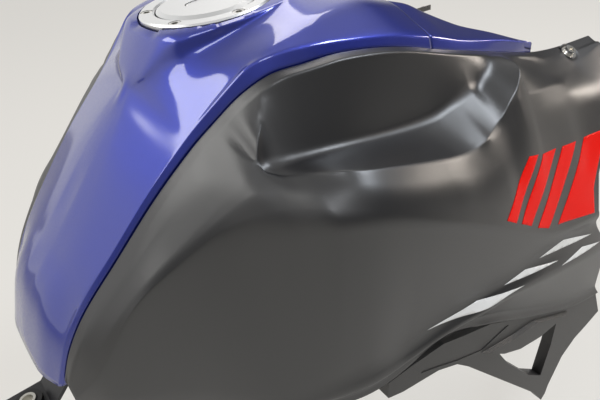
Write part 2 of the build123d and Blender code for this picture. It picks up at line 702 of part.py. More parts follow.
# Rear bracket: a strap from the tank's rear wall down to the mounting bolt
with BuildPart() as rear_bracket:
    with BuildSketch(Plane.XZ.offset(-strap_width / 2)):
        with BuildLine():
            Polyline((tank_rear, strap_top), (tank_rear, strap_knee), (strap_end, -strap_thick / 2),
                     (-strap_end, -strap_thick / 2), (-strap_end, strap_thick / 2),
                     (strap_end - strap_miter, strap_thick / 2),
                     (tank_rear - strap_thick, strap_knee + strap_miter),
                     (tank_rear - strap_thick, strap_top), close=True)
        make_face()
    extrude(amount=strap_width)
    with BuildSketch(Plane.XY.offset(-strap_thick)):
        Circle(grommet_neck_r)
    extrude(amount=2 * strap_thick, mode=Mode.SUBTRACT)
rear_bracket.part.label = "rear_bracket"

# Front lugs on the tank's front wall
lug_x = tank_front + front_lug_reach
with BuildPart() as front_lugs:
    for side in (-1, 1):
        with BuildSketch(Plane.XZ.offset(side * front_lug_half - strap_thick / 2)):
            with Locations((tank_front + front_lug_reach / 2, front_lug_z)):
                Rectangle(front_lug_reach, front_lug_height)
            with Locations((lug_x, front_lug_z)):
                Circle(front_lug_height / 2)
                Circle(grommet_neck_r, mode=Mode.SUBTRACT)
        extrude(amount=strap_thick)
front_lugs.part.label = "front_lugs"

# Rubber grommets and steel sleeves of the three mounts
seats = {"rear": Plane.XY,
         "front_right": Plane(origin=(lug_x, -front_lug_half, front_lug_z), z_dir=(0, -1, 0)),
         "front_left": Plane(origin=(lug_x, front_lug_half, front_lug_z), z_dir=(0, -1, 0))}
mount_parts = []
for place, seat in seats.items():
    with BuildPart() as grommet:
        with BuildSketch(seat.offset(-grommet_length / 2)):
            Circle(grommet_r)
        extrude(amount=(grommet_length - strap_thick) / 2)
        with BuildSketch(seat.offset(strap_thick / 2)):
            Circle(grommet_r)
        extrude(amount=(grommet_length - strap_thick) / 2)
        with BuildSketch(seat.offset(-strap_thick / 2)):
            Circle(grommet_neck_r)
        extrude(amount=strap_thick)
        with BuildSketch(seat.offset(-grommet_length / 2)):
            Circle(sleeve_r)
        extrude(amount=grommet_length, mode=Mode.SUBTRACT)
    grommet.part.label = place + "_grommet"
    with BuildPart() as sleeve:
        with BuildSketch(seat.offset(-sleeve_length / 2)):
            Circle(sleeve_r)
            Circle(mount_bore_r, mode=Mode.SUBTRACT)
        extrude(amount=sleeve_length)
    sleeve.part.label = place + "_sleeve"
    mount_parts += [grommet.part, sleeve.part]

# Fuel pump plate, its clamp ring, screws and outlet under the left lobe
pump_seat = Plane(origin=(pump_x, pump_y, tank_floor), x_dir=(1, 0, 0), z_dir=(0, 0, -1))
with BuildPart() as pump_plate:
    with BuildSketch(pump_seat):
        Circle(pump_r)
    extrude(amount=pump_plate_thick)
    with BuildSketch(pump_seat.offset(pump_plate_thick)):
        Rectangle(2 * pump_body_r, 2 * pump_body_r)
    extrude(amount=pump_body_drop)
pump_plate.part.label = "pump_plate"

with BuildPart() as pump_ring:
    with BuildSketch(pump_seat.offset(pump_plate_thick)):
        Circle(pump_ring_r)
        Circle(pump_ring_bore_r, mode=Mode.SUBTRACT)
        with PolarLocations(pump_screw_circle_r, pump_screw_count):
            Circle(pump_screw_r, mode=Mode.SUBTRACT)
    extrude(amount=pump_ring_thick)
pump_ring.part.label = "pump_ring"

with BuildPart() as pump_screws:
    with BuildSketch(pump_seat.offset(pump_plate_thick + pump_ring_thick)):
        with PolarLocations(pump_screw_circle_r, pump_screw_count):
            Circle(2 * pump_screw_r)
    extrude(amount=pump_screw_r)
    with BuildSketch(pump_seat.offset(pump_plate_thick)):
        with PolarLocations(pump_screw_circle_r, pump_screw_count):
            Circle(pump_screw_r)
    extrude(amount=pump_ring_thick)
pump_screws.part.label = "pump_screws"

outlet_z = tank_floor - pump_plate_thick - pump_body_drop + outlet_r + outlet_rise
with BuildPart() as fuel_outlet:
    with BuildSketch(Plane(origin=(pump_x - pump_body_r, pump_y, outlet_z), z_dir=(-1, 0, 0))):
        Circle(outlet_r)
        Circle(outlet_r - outlet_wall, mode=Mode.SUBTRACT)
    extrude(amount=outlet_length)
fuel_outlet.part.label = "fuel_outlet"

with BuildPart() as breather_stub:
    with BuildSketch(Plane(origin=(breather_x, -pump_y, tank_floor), x_dir=(1, 0, 0), z_dir=(0, 0, -1))):
        Circle(breather_r)
        Circle(breather_r - breather_wall, mode=Mode.SUBTRACT)
    extrude(amount=breather_length)
breather_stub.part.label = "breather_stub"

# Stays from the tank's sides out to the panels, each with a rubber puck
tank_side_w = on_line(TANK_SIDE, stay_x)[0]
knee_w, knee_z = on_line(KNEE, stay_x)
waist_w, waist_z = on_line(WAIST, stay_x)
panel_inner_w = knee_w + (waist_w - knee_w) * (knee_z - stay_z) / (knee_z - waist_z) - puck_slack
stay_tip = panel_inner_w - puck_length
stay_profile = [(tank_side_w, stay_z - stay_foot), (tank_side_w + stay_thick, stay_z - stay_foot),
                (tank_side_w + stay_thick, stay_z - stay_thick), (stay_tip, stay_z - stay_thick),
                (stay_tip, stay_z + stay_head), (stay_tip - stay_thick, stay_z + stay_head),
                (stay_tip - stay_thick, stay_z), (tank_side_w, stay_z)]
stay_parts = []
for side, name in ((-1, "right"), (1, "left")):
    with BuildPart() as stay:
        with BuildSketch(Plane.YZ.offset(stay_x - stay_width / 2)):
            with BuildLine():
                Polyline(*[(side * w, z) for w, z in stay_profile], close=True)
            make_face()
        extrude(amount=stay_width)
    stay.part.label = "panel_stay_" + name
    with BuildPart() as puck:
        puck_seat = Plane(origin=(stay_x, side * stay_tip, stay_z + puck_rise), x_dir=(1, 0, 0),
                          z_dir=(0, side, 0))
        with BuildSketch(puck_seat):
            Circle(puck_r)
        extrude(amount=puck_length)
    puck.part.label = "stay_puck_" + name
    stay_parts += [stay.part, puck.part]

pieces = [centre_cover, cover_arm_right, cover_arm_left, side_panel_right, side_panel_left,
          lower_trim_right, lower_trim_left, panel_bolts, fuel_tank, filler_neck, filler_ring, ring_screws,
          filler_lid, hinge_pin, lid_seal, lock_barrel, key_cover, key_pin, rear_bracket, front_lugs,
          pump_plate, pump_ring, pump_screws, fuel_outlet, breather_stub]
os.makedirs("parts", exist_ok=True)
for solid in [piece.part for piece in pieces] + mount_parts + stay_parts:
    export_step(solid, "parts/" + solid.label + ".step")
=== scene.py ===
import bmesh
import bpy
import json
from math import cos, pi, radians, sin
from mathutils import Matrix, Vector
from mathutils.bvhtree import BVHTree


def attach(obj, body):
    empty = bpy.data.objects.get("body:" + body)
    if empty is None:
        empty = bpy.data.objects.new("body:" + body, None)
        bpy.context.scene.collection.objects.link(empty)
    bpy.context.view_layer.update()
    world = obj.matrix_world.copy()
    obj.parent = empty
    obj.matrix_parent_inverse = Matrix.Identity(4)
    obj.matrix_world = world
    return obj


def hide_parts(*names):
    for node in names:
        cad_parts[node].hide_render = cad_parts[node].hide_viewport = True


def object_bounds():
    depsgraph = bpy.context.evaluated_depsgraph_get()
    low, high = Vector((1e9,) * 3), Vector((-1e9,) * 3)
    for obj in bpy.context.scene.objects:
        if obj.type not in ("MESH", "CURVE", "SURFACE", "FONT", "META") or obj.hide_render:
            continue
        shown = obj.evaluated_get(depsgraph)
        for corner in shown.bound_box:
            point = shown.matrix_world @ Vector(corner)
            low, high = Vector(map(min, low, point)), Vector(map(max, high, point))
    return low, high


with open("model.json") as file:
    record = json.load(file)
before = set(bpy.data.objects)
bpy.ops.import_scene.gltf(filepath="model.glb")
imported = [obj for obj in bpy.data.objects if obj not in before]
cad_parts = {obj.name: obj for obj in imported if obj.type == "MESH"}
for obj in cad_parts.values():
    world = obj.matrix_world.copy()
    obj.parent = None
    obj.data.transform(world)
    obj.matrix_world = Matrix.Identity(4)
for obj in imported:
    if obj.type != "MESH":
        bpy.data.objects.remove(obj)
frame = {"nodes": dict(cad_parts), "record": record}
cad_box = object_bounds()

# A motorcycle's fuel tank with its painted cover and side panels.
# Tables are in millimetres, meshes in metres. +X is forward, +Y the rider's left, +Z up.
MM = 0.001

# Walls and seams, as on the solids
PANEL_WALL = 3.0
COVER_WALL = 3.0
ARM_WALL = 2.5
SEAM_GAP = 1.6
JOINT_GAP = 0.8
RETURN_DEPTH = 7.0
FLANGE_WIDTH = 10.0
FLANGE_DROP = 2.0
FRONT_FLANGE_DROP = 5.0
FRONT_DROP_X = 490.0
FRONT_DROP_LENGTH = 20.0
COVER_FRONT = 342.0

# Filler axis
FILLER = Vector((225.0, 0.0, 268.0))
FILLER_TILT = radians(3.3)
FILLER_AXIS = Vector((-sin(FILLER_TILT), 0.0, cos(FILLER_TILT)))
WELL_R = 51.5
WELL_LIP_R = 39.5
WELL_DEPTH = 9.0
WELL_SPARE = 1.2
WELL_RIM_REACH = 4.8

# Rear edge of the cover, an arc in the front view, and the tip of its arms
TAIL_HALF = 64.0
TAIL_SIDE_Z = 59.0
TAIL_Z = 55.0
ARM_TIP = 503.0

# Bolt pad on the panel's front facet: its place along the panel and across the facet, and its sizes
BOLT_X = 556.0
BOLT_SHARE = 0.45
BOLT_SINK = 0.8
BOLT_PAD_R = 9.0
BOLT_PAD_EDGE = 2.0
BOLT_PAD_REACH = 10.0
BOLT_STEP = 8.0

# Feature lines of the right half. Columns: x, half width, height
SEAM = [(18, 58, 38), (27, 60, 59), (40, 62, 88), (57, 66, 114), (88, 72, 147), (122, 76, 180),
        (153, 80, 206), (168, 84, 218), (187, 92, 234), (205, 100.5, 244), (226, 106.5, 246),
        (254, 111, 246), (299, 115, 238), (357, 115, 219), (394, 113, 207), (459, 107, 186),
        (497, 103, 174), (545, 102, 165), (612, 104, 160)]
STRIP = [(18, 55.5, 43), (27, 57.5, 64), (40, 59.5, 92.5), (57, 63, 118), (88, 69, 151),
         (122, 73, 184.5), (153, 76.5, 211), (168, 80.5, 224), (187, 88, 241), (197, 92, 249),
         (208, 97, 253), (226, 102.5, 254.5), (254, 107.5, 252.5), (304, 112, 244), (345, 112, 232),
         (387, 110, 217), (452, 104.5, 198), (506, 101, 178)]
CREASE = [(18, 52, 46), (23, 52.5, 57), (36, 53, 89), (48, 57.5, 106), (63, 62, 126),
          (86, 66.5, 149.5), (116, 70, 179.5), (148, 73.5, 207.5), (172, 78, 227.5), (194, 86, 246),
          (214, 91, 256), (242, 90, 261), (263, 86.5, 263), (305, 80, 262), (345, 76, 250)]
HOLLOW = [(16, 34, 49), (18, 34, 57), (36, 34, 103), (64, 36, 135), (87, 36, 159.5),
          (113, 28, 188.5), (136, 16, 212.5), (150, 12, 226), (157, 24, 232), (166, 36, 238),
          (181, 46, 245), (202, 52, 252), (225, 58, 260), (247, 58, 266), (265, 56, 267.5),
          (300, 45, 264), (345, 40, 252)]
CREST = [(16, 12, 50), (18, 12, 61), (36, 12, 107), (64, 12, 138.5), (113, 10, 191.5),
         (136, 7, 213.5), (150, 6, 228), (156, 20, 238), (170, 32, 257), (178, 40, 262.5),
         (200, 50, 266), (225, 55.5, 267.5), (250, 54, 269), (275, 42, 269.5), (300, 28, 264.5),
         (345, 22, 252)]
CROWN = [(16, 0, 50), (18, 0, 62), (27, 0, 88), (36, 0, 108), (64, 0, 139), (87, 0, 163),
         (113, 0, 192), (136, 0, 214), (148, 0, 228), (156, 0, 240), (170, 0, 260), (178, 0, 265),
         (225, 0, 268), (275, 0, 270), (300, 0, 265), (345, 0, 252)]
ARM_INNER = [(345, 67, 251), (362, 70.5, 245), (379, 75, 235), (397, 81, 225), (413, 86, 217),
             (444, 93, 205), (482, 99, 189), (503, 101, 181)]
EDGE = [(30, 68, 62.5), (50, 76.2, 100.5), (81, 85.5, 136.8), (116, 91, 169.8), (144, 97, 193.8),
        (160, 101.5, 205), (168, 108.5, 208.9), (174, 122.5, 203.9), (176, 121.3, 208),
        (180, 118.5, 214.2), (185, 114.7, 219.2), (188, 111.8, 223.7), (193, 110.5, 230),
        (200, 114.5, 228), (212, 118.5, 229), (250, 124.7, 228), (300, 128.3, 220.5),
        (350, 128.6, 209.5), (388, 127, 202.5), (404, 125.5, 200.7), (414, 125, 199),
        (440, 122, 188.5), (470, 118, 177), (505, 118.5, 163), (545, 115.5, 157.8),
        (560, 114.6, 157), (612, 117, 156)]
VALLEY = [(30, 69, 60.5), (50, 78, 98), (81, 90, 134), (116, 96, 166), (144, 104, 190),
          (162, 112.5, 201.4), (168, 117, 203.8), (174, 123.3, 203.1), (180, 123.8, 199.3),
          (188, 127, 198), (197, 129, 197), (229, 134, 194), (280, 135.5, 186), (318, 136.5, 183.5),
          (345, 136.8, 187.2), (363, 136.4, 189.6), (365, 136, 189.5), (374, 134.9, 188.6),
          (388, 133.7, 193.9), (400, 131.5, 198.2), (414, 130.5, 198.7), (440, 127, 184.5),
          (470, 126, 171.5), (505, 125.5, 158.5), (545, 119, 155), (560, 117.7, 155),
          (612, 117.6, 155.7)]
RIM = [(30, 71, 57), (50, 83, 90), (81, 97, 131), (116, 106, 159), (144, 116, 181),
       (162, 123.5, 195.4), (168, 124.8, 198.9), (174, 124.5, 201.9), (176, 127, 197.8),
       (179, 131.7, 196.6), (182, 135, 195.7), (190, 144, 196.6), (206, 162, 199), (230, 171, 194),
       (285, 173, 177.5), (306, 172, 171), (324, 171.5, 167.8), (340, 171, 168.4),
       (350, 167.7, 169), (361, 164.2, 171.6), (370, 163.3, 175), (380, 161, 180.7),
       (392, 158, 186.4), (401, 153.9, 192.9), (407, 149, 196.7), (411, 143, 198.2),
       (414, 138, 198.3), (440, 136, 180), (470, 134, 167), (505, 132, 154.2), (545, 122.4, 152.5),
       (560, 120.8, 153), (612, 118.3, 155.4)]
FOLD = [(30, 71.3, 56), (50, 84.5, 86.5), (81, 98.5, 129.8), (116, 108.5, 157), (144, 119, 178.5),
        (162, 128, 192.4), (174, 131, 198), (182, 139.5, 195.5), (192, 150.5, 196.5),
        (212, 167.5, 197), (237, 174, 190), (285, 176, 175), (311, 175, 167), (345, 172.7, 164),
        (365, 167, 168), (378, 164.3, 173.5), (386, 162.6, 178), (392, 161.8, 179.8),
        (401, 160.2, 178.5), (414, 157.4, 174.5), (440, 152, 168), (470, 146, 160.5),
        (490, 142, 155), (508, 137.8, 150), (545, 125.6, 150), (560, 124, 151), (612, 119, 155)]
SIDE = [(30, 71.7, 54.5), (50, 86, 82), (81, 100, 128.2), (116, 110.5, 154.5), (144, 122.8, 175.2),
        (162, 135, 187.6), (174, 144.5, 190), (192, 164.5, 191.5), (212, 178.5, 188),
        (237, 185.5, 178.5), (285, 189.5, 159), (311, 190.5, 147), (345, 188.7, 138.8),
        (365, 183.4, 139.9), (386, 178.9, 146.2), (401, 176.8, 144.4), (414, 173.3, 143.4),
        (440, 165.7, 146.2), (470, 160.5, 142), (505, 152, 140), (560, 153, 130), (612, 153, 124)]
KNEE = [(30, 72, 53), (50, 88, 76), (81, 102, 126), (116, 113, 150), (144, 128, 167),
        (172, 157, 176), (192, 180, 178), (237, 194, 161), (311, 201, 120), (398, 204, 66),
        (491, 205, 38), (560, 198, 30), (612, 190, 30)]
WAIST = [(30, 71, 48), (50, 86, 44), (100, 103, 25), (150, 146, 15), (206, 178, 32), (250, 181, 26),
         (306, 190, 36), (351, 195, 36), (409, 198, 37), (461, 200, 31), (520, 200, 16),
         (612, 190, 0)]
BAND = [(30, 69, 44), (50, 82, 30), (100, 100, 5), (150, 147, 3), (206, 183, 18), (250, 187, 14),
        (297, 197, 24), (324, 203, 28), (351, 204, 26), (405, 208, 16), (473, 210, 0),
        (520, 209, -14), (612, 204, -40)]
LIP_ROOT = [(30, 66, 41), (50, 77, 22), (100, 97, -1), (150, 142, -1), (206, 179, 12),
            (289, 180, 13), (351, 187, -9), (414, 191, -44), (507, 197, -88), (612, 196, -122)]
LIP = [(30, 65, 37), (50, 75, 15), (100, 96, -10), (150, 141, -9), (206, 180, 4), (289, 183, 4),
       (317, 184, -6), (351, 191, -17), (414, 195, -52), (507, 201, -96), (612, 200, -130)]
PANEL_LINES = (EDGE, VALLEY, RIM, FOLD, SIDE, KNEE, WAIST, BAND, LIP_ROOT, LIP)

# Front edge of the side panel in the side view. Columns: x, z, from the top down
FRONT_EDGE = [(606, 150), (564, 104), (530, 81), (500, 62), (490, 46), (492, 30), (522, -19),
              (560, -114), (564, -160)]
FRONT_REACH = (470, 612)


def eased(line, x):
    """Half width and height where a feature line crosses x, eased through its points."""
    if x <= line[0][0]:
        return line[0][1:]
    if x >= line[-1][0]:
        return line[-1][1:]
    i = next(k for k in range(len(line) - 1) if line[k + 1][0] >= x)
    span = line[i + 1][0] - line[i][0]
    t = (x - line[i][0]) / span
    values = []
    for c in (1, 2):
        slopes = []
        for k in (i, i + 1):
            before = line[max(k - 1, 0)]
            after = line[min(k + 1, len(line) - 1)]
            slopes.append((after[c] - before[c]) / (after[0] - before[0]))
        p = line[i][c]
        q = line[i + 1][c]
        values.append(p + (q - p) * t * t * (3 - 2 * t)
                      + span * t * (1 - t) * (slopes[0] * (1 - t) - slopes[1] * t))
    return tuple(values)


# Halvings of a search, the angle past which an edge stays sharp, and the distance of doubles
HALVINGS = 18
SHARP_ANGLE = radians(40)
DOUBLES_DISTANCE = 0.00001


def drop_to(curve, edge, low, high):
    """The x between low and high at which a length-wise curve meets an edge, found by halving."""
    sign = edge(curve(low)) > 0
    for _ in range(HALVINGS):
        middle = (low + high) / 2
        if (edge(curve(middle)) > 0) == sign:
            low = middle
        else:
            high = middle
    return (low + high) / 2


def trimmed_sheet(section, starts, ends, rows, even):
    """A fine sheet with its own start and end on each length-wise curve, and even rows between them."""
    columns = len(starts)
    made = bmesh.new()
    bmesh.ops.create_grid(made, x_segments=rows, y_segments=columns - 1, size=1)
    first, last = min(starts), max(ends)
    for vert in made.verts:
        x = first + (last - first) * (vert.co.x + 1) / 2
        k = round((vert.co.y + 1) / 2 * (columns - 1))
        if x < even[0]:
            x = starts[k] + (even[0] - starts[k]) * (x - first) / (even[0] - first)
        elif x > even[1]:
            x = even[1] + (ends[k] - even[1]) * (x - even[1]) / (last - even[1])
        vert.co = section(x)[k] * MM
    return made


def face_upward(made):
    """Turn a sheet's faces so that its highest one looks up."""
    bmesh.ops.recalc_face_normals(made, faces=made.faces)
    if max(made.faces, key=lambda face: face.calc_center_median().z).normal.z < 0:
        bmesh.ops.reverse_faces(made, faces=made.faces)


def finished(made, name, material, wall):
    """The piece's object at the origin, its faces smooth, with a wall behind its outer face."""
    bmesh.ops.remove_doubles(made, verts=made.verts, dist=DOUBLES_DISTANCE)
    mesh = bpy.data.meshes.new(name)
    made.to_mesh(mesh)
    made.free()
    mesh.materials.append(material)
    mesh.shade_smooth()
    mesh.set_sharp_from_angle(angle=SHARP_ANGLE)
    piece = bpy.data.objects.new(name, mesh)
    bpy.context.scene.collection.objects.link(piece)
    solid = piece.modifiers.new("wall", "SOLIDIFY")
    solid.thickness = wall * MM
    solid.offset = -1
    solid.use_even_offset = False
    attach(piece, "root")
    return piece


def mirrored(made):
    """A copy of a right-hand mesh for the left side."""
    other = made.copy()
    bmesh.ops.scale(other, vec=(1, -1, 1), verts=other.verts)
    bmesh.ops.reverse_faces(other, faces=other.faces)
    return other


# Materials
GRAIN_PLAY = 0.05
FLAKE_PLAY = 0.08
FLAKE_SIZE = 0.0004
FLAKE_TILT = 0.00002


def shader_of(material):
    """The one shader of a material."""
    return material.node_tree.nodes["Principled BSDF"]


def principled(name, color, metallic=0.0, roughness=0.5):
    """A material with its colour and roughness set on the shader."""
    material = bpy.data.materials.new(name)
    material.use_nodes = True
    shader = shader_of(material)
    shader.inputs["Base Color"].default_value = (*color, 1)
    shader.inputs["Metallic"].default_value = metallic
    shader.inputs["Roughness"].default_value = roughness
    return material


def relief(material, lift, tone, distance, play):
    """Let a pattern's lift raise the surface by a distance, and its tone move the roughness."""
    nodes = material.node_tree.nodes
    links = material.node_tree.links
    shader = shader_of(material)
    bump = nodes.new("ShaderNodeBump")
    bump.inputs["Distance"].default_value = distance
    bump.inputs["Strength"].default_value = 1
    links.new(lift, bump.inputs["Height"])
    links.new(bump.outputs["Normal"], shader.inputs["Normal"])
    swing = nodes.new("ShaderNodeMapRange")
    base = shader.inputs["Roughness"].default_value
    swing.inputs["To Min"].default_value = base - play
    swing.inputs["To Max"].default_value = base + play
    links.new(tone, swing.inputs["Value"])
    links.new(swing.outputs["Result"], shader.inputs["Roughness"])


def pattern(material, kind, scale):
    """A procedural texture of a kind, fixed to the piece."""
    nodes = material.node_tree.nodes
    place = nodes.new("ShaderNodeTexCoord")
    texture = nodes.new(kind)
    texture.inputs["Scale"].default_value = scale
    material.node_tree.links.new(place.outputs["Object"], texture.inputs["Vector"])
    return texture


def grain(material, scale, distance):
    """A fine moulded or rolled grain, with a matching play of roughness."""
    noise = pattern(material, "ShaderNodeTexNoise", scale)
    relief(material, noise.outputs["Fac"], noise.outputs["Fac"], distance, GRAIN_PLAY)
    return material


def flakes(material):
    """Metal flakes under the clear coat: small cells, each with its own tilt and shine."""
    cells = pattern(material, "ShaderNodeTexVoronoi", 1 / FLAKE_SIZE)
    tone = material.node_tree.nodes.new("ShaderNodeSeparateColor")
    material.node_tree.links.new(cells.outputs["Color"], tone.inputs["Color"])
    relief(material, tone.outputs["Red"], tone.outputs["Green"], FLAKE_TILT, FLAKE_PLAY)
    return material


def clear_coat(material, roughness, ior):
    """A full clear coat over a paint."""
    shader = shader_of(material)
    shader.inputs["Coat Weight"].default_value = 1
    shader.inputs["Coat Roughness"].default_value = roughness
    shader.inputs["Coat IOR"].default_value = ior


blue_paint = flakes(principled("blue_paint", (0.016, 0.032, 0.34), 0.8, 0.42))
clear_coat(blue_paint, 0.08, 1.8)
panel_plastic = grain(principled("panel_plastic", (0.008, 0.008, 0.010), 0, 0.37), 1800, 0.00003)
shader_of(panel_plastic).inputs["IOR"].default_value = 1.85
trim_plastic = grain(principled("trim_plastic", (0.030, 0.029, 0.029), 0, 0.42), 900, 0.0001)
tank_paint = grain(principled("tank_paint", (0.02, 0.02, 0.022), 0, 0.4), 300, 0.0001)
ring_alloy = grain(principled("ring_alloy", (0.86, 0.87, 0.88), 1, 0.3), 1500, 0.00002)
lid_alloy = grain(principled("lid_alloy", (0.84, 0.85, 0.86), 1, 0.34), 1500, 0.00002)
bolt_steel = grain(principled("bolt_steel", (0.8, 0.79, 0.76), 1, 0.2), 900, 0.00002)
zinc_steel = grain(principled("zinc_steel", (0.62, 0.61, 0.56), 1, 0.32), 700, 0.00003)
lock_metal = grain(principled("lock_metal", (0.8, 0.8, 0.8), 1, 0.12), 900, 0.00001)
rubber = grain(principled("rubber", (0.022, 0.022, 0.022), 0, 0.7), 500, 0.0001)
red_film = grain(principled("red_film", (0.88, 0.007, 0.002), 0, 0.25), 500, 0.00002)
shader_of(red_film).inputs["IOR"].default_value = 1.12
white_film = grain(principled("white_film", (0.86, 0.86, 0.85), 0, 0.25), 500, 0.00002)
pump_plastic = grain(principled("pump_plastic", (0.03, 0.03, 0.03), 0, 0.45), 500, 0.00008)

FINISHES = {"blue_paint": blue_paint, "matte_panel": panel_plastic, "grained_trim": trim_plastic,
            "bolt_steel": bolt_steel, "tank_steel": tank_paint, "ring_alloy": ring_alloy,
            "lid_alloy": lid_alloy, "lock_metal": lock_metal, "rubber": rubber,
            "pump_plastic": pump_plastic, "bracket_zinc": zinc_steel}
for part in frame["record"]["subparts"]:
    node = frame["nodes"][part["node"]]
    for place in node.material_slots:
        place.material = FINISHES[part["material_slot"]]

# Points along each corner and each flat of a section, and the limits of a corner's cut-back
SECTION_STEPS = 6
FLAT_STEPS = 3
WIDEST_SHARE = 0.46
SHORTEST_RUN = 0.01

# Side panel. Each line's rounding is a table of x and the cut-back: edge, valley, rim, fold, side, knee
PANEL_ROUNDING = ([(150, 14), (173, 2), (176, 1.2), (186, 2), (196, 14)],
                  [(150, 14), (176, 6), (400, 6), (414, 10)],
                  [(150, 14), (174, 1.2), (411, 1.2), (430, 12)],
                  [(365, 20), (384, 2), (510, 2), (560, 4)],
                  [(150, 8), (200, 20), (400, 30), (560, 12)],
                  [(150, 20), (200, 8), (260, 4), (480, 4), (560, 12)])
SEAM_ROUNDING = 2.0
FLANGE_ROUNDING = 1.6
LOWER_ROUNDING = (9, 6, 4)
PANEL_TAIL_X = 10.0
RETURN_TAPER = 0.12
FLANGE_TAPER = 0.3
PANEL_REAR = 30.0
PANEL_EVEN = (60, 440)
PANEL_ROWS = 340


def along(turns, x):
    """The rounding at x, straight between the points of its table."""
    for (x0, r0), (x1, r1) in zip(turns, turns[1:]):
        if x <= x1:
            return r0 + (r1 - r0) * max(0, x - x0) / (x1 - x0)
    return turns[-1][1]


def bent(corners, shares):
    """A section line that bends over a share of each run at its corners, with even flats."""
    line = [Vector(corners[0])]
    for i in range(1, len(corners) - 1):
        corner = Vector(corners[i])
        start = corner.lerp(Vector(corners[i - 1]), shares[i][0])
        end = corner.lerp(Vector(corners[i + 1]), shares[i][1])
        last = line[-1]
        line += [last.lerp(start, k / FLAT_STEPS) for k in range(1, FLAT_STEPS)]
        for k in range(SECTION_STEPS + 1):
            t = k / SECTION_STEPS
            line.append(start.lerp(corner, t).lerp(corner.lerp(end, t), t))
    last = line[-1]
    line += [last.lerp(Vector(corners[-1]), k / FLAT_STEPS) for k in range(1, FLAT_STEPS + 1)]
    return line


def rounded(corners, rounding):
    """A section line whose corners are cut back by a rounding in millimetres."""
    runs = [max((Vector(q) - Vector(p)).length, SHORTEST_RUN) for p, q in zip(corners, corners[1:])]
    shares = [(0, 0)]
    for i in range(1, len(corners) - 1):
        shares.append((min(WIDEST_SHARE, rounding[i] / runs[i - 1]),
                       min(WIDEST_SHARE, rounding[i] / runs[i])))
    return bent(corners, shares)


def spread(corners, softness):
    """A section line whose corners are softened by a share of the runs that meet there."""
    return bent(corners, [(share / 2, share / 2) for share in softness])


def panel_section(x):
    """Points of the right panel's outer face at x, from the seam down to the lower lip."""
    seam_w, seam_z = eased(SEAM, x)
    depth = min(RETURN_DEPTH, RETURN_TAPER * (x - PANEL_TAIL_X))
    flange = min(FLANGE_WIDTH, FLANGE_TAPER * (x - PANEL_TAIL_X))
    front_share = min(max((x - FRONT_DROP_X) / FRONT_DROP_LENGTH, 0), 1)
    drop = FLANGE_DROP + front_share * (FRONT_FLANGE_DROP - FLANGE_DROP)
    corners = [(seam_w + SEAM_GAP / 2, seam_z - depth), (seam_w + SEAM_GAP / 2, seam_z),
               (seam_w + flange, seam_z - drop)]
    corners += [eased(line, x) for line in PANEL_LINES]
    rounding = (0, SEAM_ROUNDING, FLANGE_ROUNDING, *[along(turns, x) for turns in PANEL_ROUNDING],
                *LOWER_ROUNDING, 0)
    return [Vector((x, -p.x, p.y)) for p in rounded(corners, rounding)]


def bolt_place(x):
    """The bolt's place on the front facet at x, and the facet's inner edge there."""
    inner = Vector((x, -eased(SEAM, x)[0], eased(SEAM, x)[1]))
    outer = Vector((x, -eased(FOLD, x)[0], eased(FOLD, x)[1]))
    return inner.lerp(outer, BOLT_SHARE), inner


BOLT_SEAT, BOLT_INNER = bolt_place(BOLT_X)
BOLT_AHEAD = bolt_place(BOLT_X + BOLT_STEP)[0]
BOLT_AXIS = (BOLT_AHEAD - BOLT_SEAT).cross(BOLT_INNER - BOLT_SEAT).normalized()


def front_edge_x(z):
    """Where the panel's front edge runs at a height in the side view."""
    if z >= FRONT_EDGE[0][1]:
        return FRONT_EDGE[0][0]
    for (x0, z0), (x1, z1) in zip(FRONT_EDGE, FRONT_EDGE[1:]):
        if z >= z1:
            return x0 + (x1 - x0) * (z0 - z) / (z0 - z1)
    return FRONT_EDGE[-1][0]


def panel_end(k):
    """The x at which the panel's length-wise curve number k meets the front edge."""
    return drop_to(lambda x: panel_section(x)[k], lambda point: point.x - front_edge_x(point.z),
                   *FRONT_REACH)


def sink_bolt_pad(made):
    """Flatten the panel round its front bolt into a shallow round pad."""
    for vert in made.verts:
        offset = vert.co - BOLT_SEAT * MM
        height = offset.dot(BOLT_AXIS)
        across = (offset - height * BOLT_AXIS).length / MM
        if abs(height) < BOLT_PAD_REACH * MM and across < BOLT_PAD_R + BOLT_PAD_EDGE:
            share = min(1, (BOLT_PAD_R + BOLT_PAD_EDGE - across) / BOLT_PAD_EDGE)
            vert.co -= share * (height + BOLT_SINK * MM) * BOLT_AXIS


columns = len(panel_section(PANEL_REAR))
panel_ends = [panel_end(k) for k in range(columns)]
panel = trimmed_sheet(panel_section, [PANEL_REAR] * columns, panel_ends, PANEL_ROWS, PANEL_EVEN)
sink_bolt_pad(panel)
bmesh.ops.reverse_faces(panel, faces=panel.faces)
left_panel = mirrored(panel)
panel_surface = BVHTree.FromBMesh(panel)
right = finished(panel, "panel_shell_right", panel_plastic, PANEL_WALL)
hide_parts("side_panel_right")
left = finished(left_panel, "panel_shell_left", panel_plastic, PANEL_WALL)
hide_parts("side_panel_left")

# Centre cover
COVER_SOFTNESS = (0.25, 0.4, 0.5, 0.9, 0.5)
COVER_ROWS = 180
COVER_EVEN = (40, 300)
TAIL_REACH = (16, 36)


def cover_section(x):
    """Points of the centre cover's outer face at x, from the right seam over to the left seam."""
    seam_w, seam_z = eased(SEAM, x)
    half = [(seam_w - SEAM_GAP / 2, seam_z - RETURN_DEPTH), (seam_w - SEAM_GAP / 2, seam_z)]
    half += [eased(line, x) for line in (STRIP, CREASE, HOLLOW, CREST)]
    corners = [(-w, z) for w, z in half] + [eased(CROWN, x)] + half[::-1]
    softness = (0, *COVER_SOFTNESS, 1, *COVER_SOFTNESS[::-1], 0)
    return [Vector((x, p.x, p.y)) for p in spread(corners, softness)]


